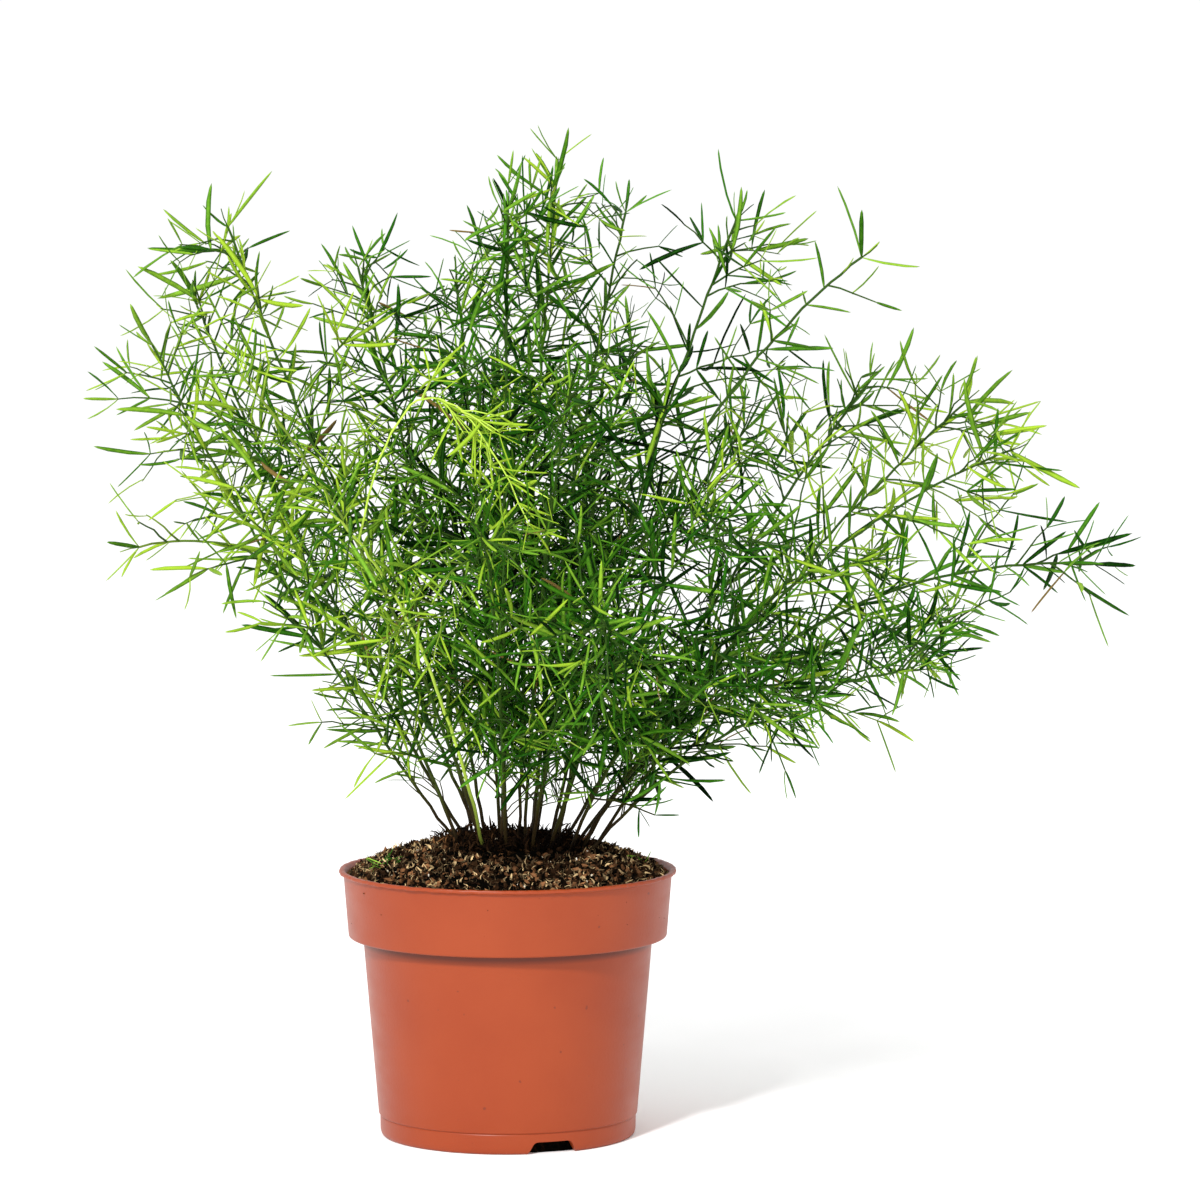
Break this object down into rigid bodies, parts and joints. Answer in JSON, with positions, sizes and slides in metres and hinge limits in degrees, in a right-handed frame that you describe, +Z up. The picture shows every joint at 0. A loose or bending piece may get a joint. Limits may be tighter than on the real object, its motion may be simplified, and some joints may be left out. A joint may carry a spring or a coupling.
{
  "type": "potted sprengeri asparagus fern",
  "caption": "Bushy fern with fine needle-like foliage on arching stems, growing in soil in a round tapered nursery pot with a wide rim band; a houseplant.",
  "frame": {"origin": "middle of the pot's flat bottom, on the surface that the pot stands on", "axes": "+Z up along the pot's axis; +X to the right as the picture shows it, along the foliage's widest spread; -Y towards the picture's viewer"},
  "size_m": [0.377, 0.3014, 0.3555],
  "materials": {
    "pot": "satin terracotta-coloured moulded plastic",
    "soil": "dark moist peat with lighter fibres",
    "leaf_deep_green": "satin leaf",
    "leaf_mid_green": "satin leaf",
    "leaf_fresh_green": "satin leaf"
  },
  "bodies": {
    "root": {"pot": "pot", "soil": "soil", "leafy_stem_01": "leaf_mid_green", "leafy_stem_02": "leaf_mid_green", "leafy_stem_03": "leaf_fresh_green", "leafy_stem_04": "leaf_mid_green", "leafy_stem_05": "leaf_fresh_green", "leafy_stem_06": "leaf_deep_green", "leafy_stem_07": "leaf_mid_green", "leafy_stem_08": "leaf_deep_green", "leafy_stem_09": "leaf_deep_green", "leafy_stem_10": "leaf_deep_green", "leafy_stem_11": "leaf_mid_green", "leafy_stem_12": "leaf_fresh_green", "leafy_stem_13": "leaf_deep_green", "leafy_stem_14": "leaf_fresh_green", "leafy_stem_15": "leaf_deep_green", "leafy_stem_16": "leaf_deep_green", "leafy_stem_17": "leaf_mid_green", "leafy_stem_18": "leaf_deep_green", "leafy_stem_19": "leaf_mid_green", "leafy_stem_20": "leaf_mid_green", "leafy_stem_21": "leaf_deep_green", "leafy_stem_22": "leaf_fresh_green", "leafy_stem_23": "leaf_mid_green", "leafy_stem_24": "leaf_fresh_green", "leafy_stem_25": "leaf_fresh_green", "leafy_stem_26": "leaf_mid_green", "leafy_stem_27": "leaf_deep_green", "leafy_stem_28": "leaf_mid_green", "leafy_stem_29": "leaf_deep_green"}
  },
  "joints": []
}
